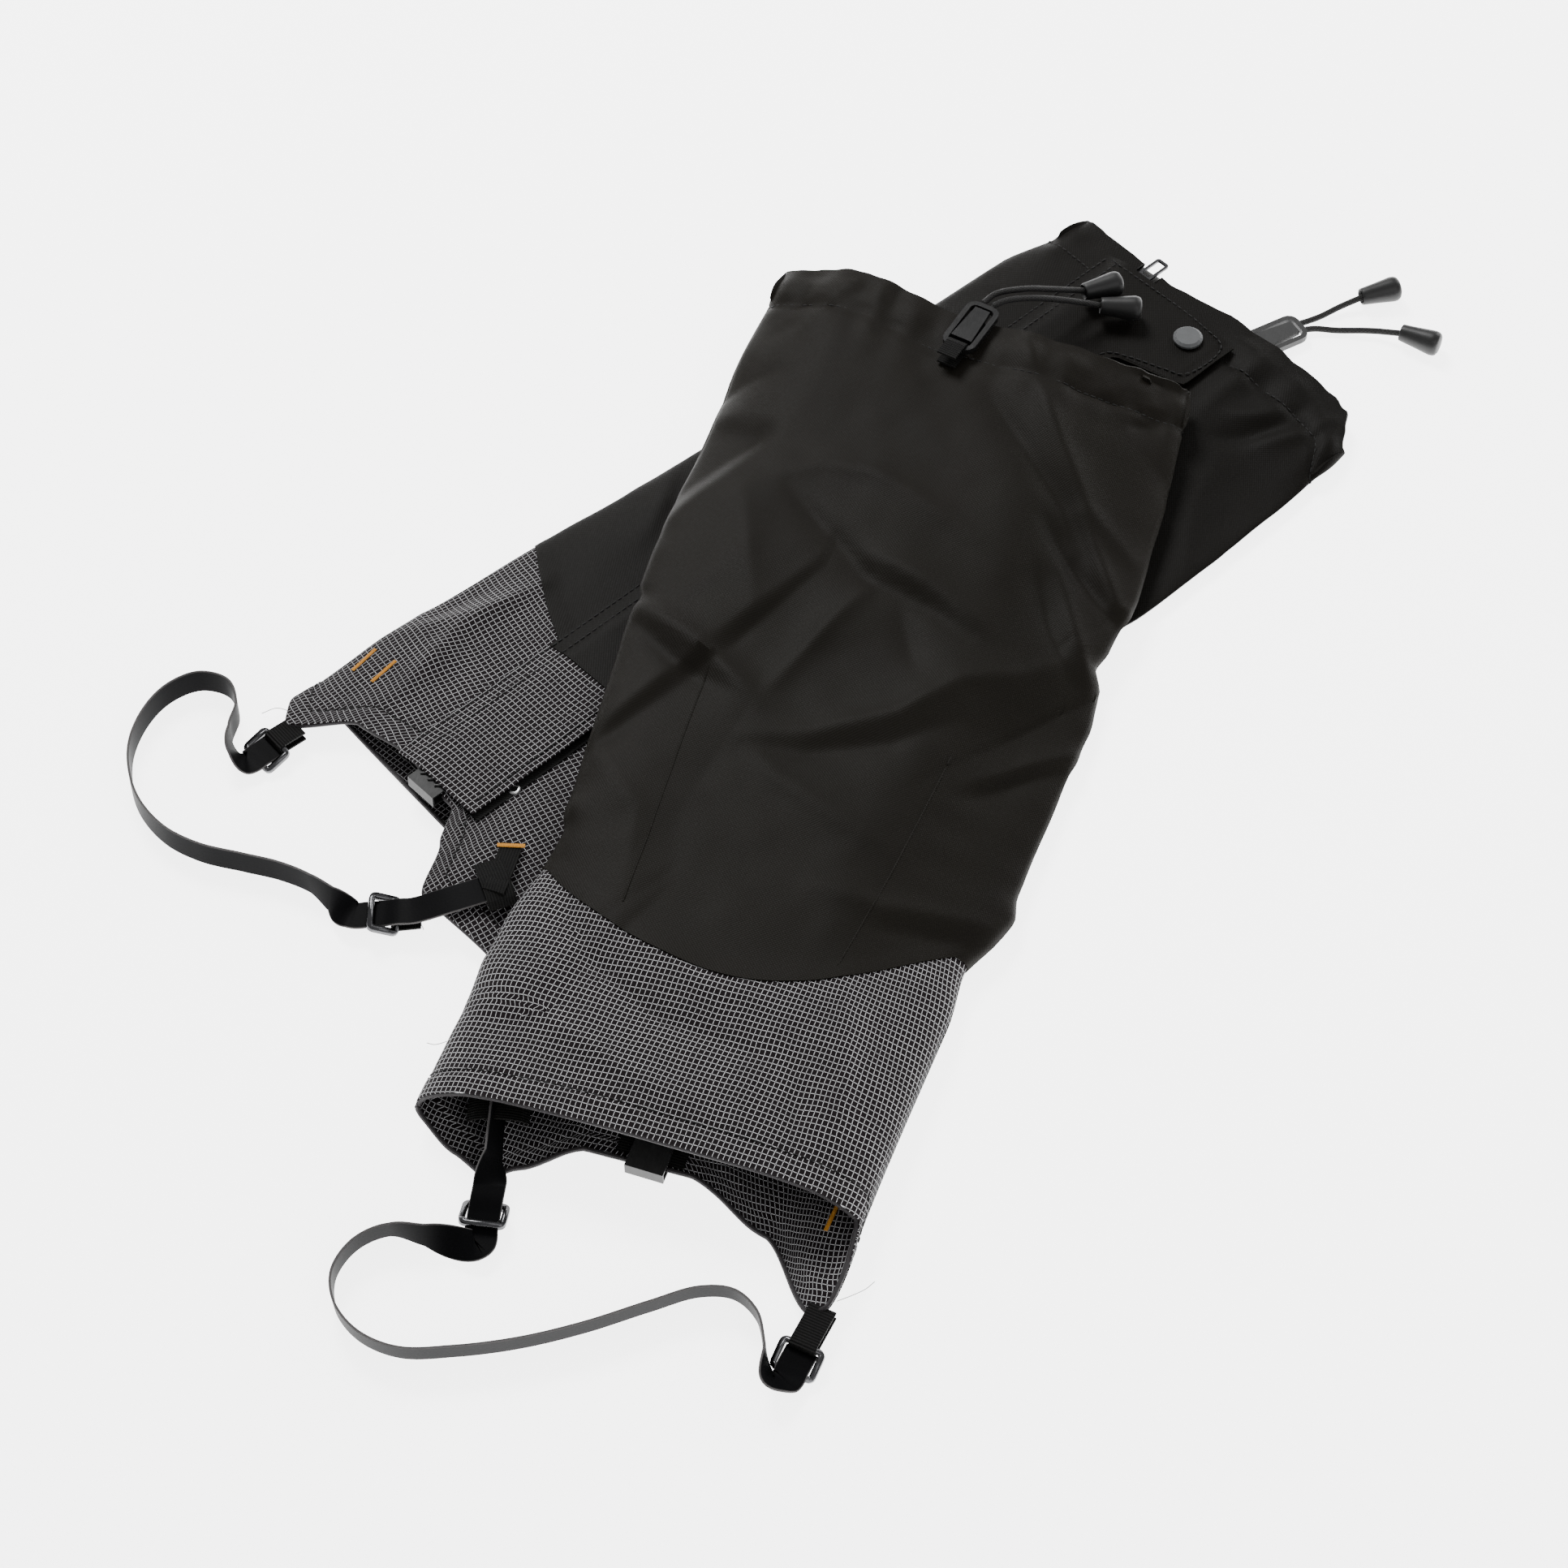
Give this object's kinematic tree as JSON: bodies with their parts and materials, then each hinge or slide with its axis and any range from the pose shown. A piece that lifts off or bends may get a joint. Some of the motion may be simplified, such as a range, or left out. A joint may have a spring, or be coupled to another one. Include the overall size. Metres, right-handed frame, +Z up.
{
  "type": "pair of mountaineering gaiters",
  "caption": "Knee-length zip-front gaiters lying crossed, with drawcord tops, storm flaps, lace hooks and buckled instep straps.",
  "frame": {"origin": "on the floor below the middle of the pair, free cords left out", "axes": "+Y along the over gaiter from its hem to its top, +Z up from the floor"},
  "size_m": [0.4722, 0.671, 0.0424],
  "materials": {
    "upper_cloth": "soft matt weave",
    "cuff_cloth": "dark ripstop with a pale dotted grid",
    "elastic_cord": "braided, matt",
    "zip_tape": "woven tape with moulded teeth",
    "zip_metal": "black lacquered zinc",
    "snap_metal": "satin gunmetal",
    "hook_metal": "satin",
    "lock_plastic": "gloss",
    "cord_end_plastic": "matt moulded",
    "buckle_metal": "satin gunmetal",
    "webbing": "ribbed woven tape",
    "strap_rubber": "smooth coated band, satin"
  },
  "bodies": {
    "gaiters": {"over_calf_panel": "upper_cloth", "over_front_panel_left": "upper_cloth", "over_front_panel_right": "upper_cloth", "over_cuff_calf": "cuff_cloth", "over_cuff_front_left": "cuff_cloth", "over_cuff_front_right": "cuff_cloth", "over_drawcord": "elastic_cord", "over_zip_tape_flap_side": "zip_tape", "over_zip_tape_free_side": "zip_tape", "over_flap_cuff": "cuff_cloth", "over_flap_upper": "upper_cloth", "over_loop_strip": "webbing", "over_snap_cap": "snap_metal", "over_snap_socket": "snap_metal", "over_lace_hook": "hook_metal", "over_lock_webbing": "webbing", "over_buckle_left": "buckle_metal", "over_buckle_right": "buckle_metal", "over_webbing_tab_left": "webbing", "over_webbing_tab_right": "webbing", "over_instep_strap": "strap_rubber", "over_strap_keeper": "webbing", "under_calf_panel": "upper_cloth", "under_front_panel_left": "upper_cloth", "under_front_panel_right": "upper_cloth", "under_cuff_calf": "cuff_cloth", "under_cuff_front_left": "cuff_cloth", "under_cuff_front_right": "cuff_cloth", "under_drawcord": "elastic_cord", "under_zip_tape_flap_side": "zip_tape", "under_zip_tape_free_side": "zip_tape", "under_flap_cuff": "cuff_cloth", "under_flap_upper": "upper_cloth", "under_loop_strip": "webbing", "under_snap_cap": "snap_metal", "under_snap_socket": "snap_metal", "under_lace_hook": "hook_metal", "under_lock_webbing": "webbing", "under_buckle_left": "buckle_metal", "under_buckle_right": "buckle_metal", "under_webbing_tab_left": "webbing", "under_webbing_tab_right": "webbing", "under_instep_strap": "strap_rubber", "under_strap_keeper": "webbing"},
    "over_slider": {"over_zip_slider": "zip_metal"},
    "over_pull": {"over_zip_pull": "zip_metal"},
    "under_slider": {"under_zip_slider": "zip_metal"},
    "under_pull": {"under_zip_pull": "zip_metal"},
    "over_lock": {"over_lock_frame": "lock_plastic", "over_cord_tail_1": "elastic_cord", "over_cord_tail_2": "elastic_cord", "over_cord_end_1": "cord_end_plastic", "over_cord_end_2": "cord_end_plastic"},
    "over_lever": {"over_lock_lever": "lock_plastic"},
    "under_lock": {"under_lock_frame": "lock_plastic", "under_cord_tail_1": "elastic_cord", "under_cord_tail_2": "elastic_cord", "under_cord_end_1": "cord_end_plastic", "under_cord_end_2": "cord_end_plastic"},
    "under_lever": {"under_lock_lever": "lock_plastic"}
  },
  "joints": [
    {"name": "over_zip_run", "type": "slide", "parent": "gaiters", "child": "over_slider", "axis": [0.0203, 0.9988, 0.0453], "range_m": [-0.404, 0]},
    {"name": "over_pull_hinge", "type": "hinge", "parent": "over_slider", "child": "over_pull", "pos_m": [0.05389, 0.21478, 0.02198], "axis": [-0.9998, 0.0204, 0], "range_deg": [0, 20]},
    {"name": "over_lock_swing", "type": "hinge", "parent": "gaiters", "child": "over_lock", "pos_m": [0.04113, 0.2007, 0.03924], "axis": [0.9781, -0.2079, 0], "range_deg": [0, 60]},
    {"name": "over_lever_hinge", "type": "hinge", "parent": "over_lock", "child": "over_lever", "pos_m": [0.04244, 0.20686, 0.03984], "axis": [0.9781, -0.2079, 0], "range_deg": [0, 55]},
    {"name": "under_zip_run", "type": "slide", "parent": "gaiters", "child": "under_slider", "axis": [0.4784, 0.8781, 0], "range_m": [-0.394, 0]},
    {"name": "under_pull_hinge", "type": "hinge", "parent": "under_slider", "child": "under_pull", "pos_m": [0.10383, 0.29555, 0.01255], "axis": [0.8781, -0.4784, 0], "range_deg": [0, 88]},
    {"name": "under_lock_swing", "type": "hinge", "parent": "gaiters", "child": "under_lock", "pos_m": [0.15934, 0.27531, 0.0034], "axis": [0.7373, -0.6756, 0], "range_deg": [0, 20]},
    {"name": "under_lever_hinge", "type": "hinge", "parent": "under_lock", "child": "under_lever", "pos_m": [0.16359, 0.27995, 0.004], "axis": [0.7373, -0.6756, 0], "range_deg": [0, 35]}
  ]
}
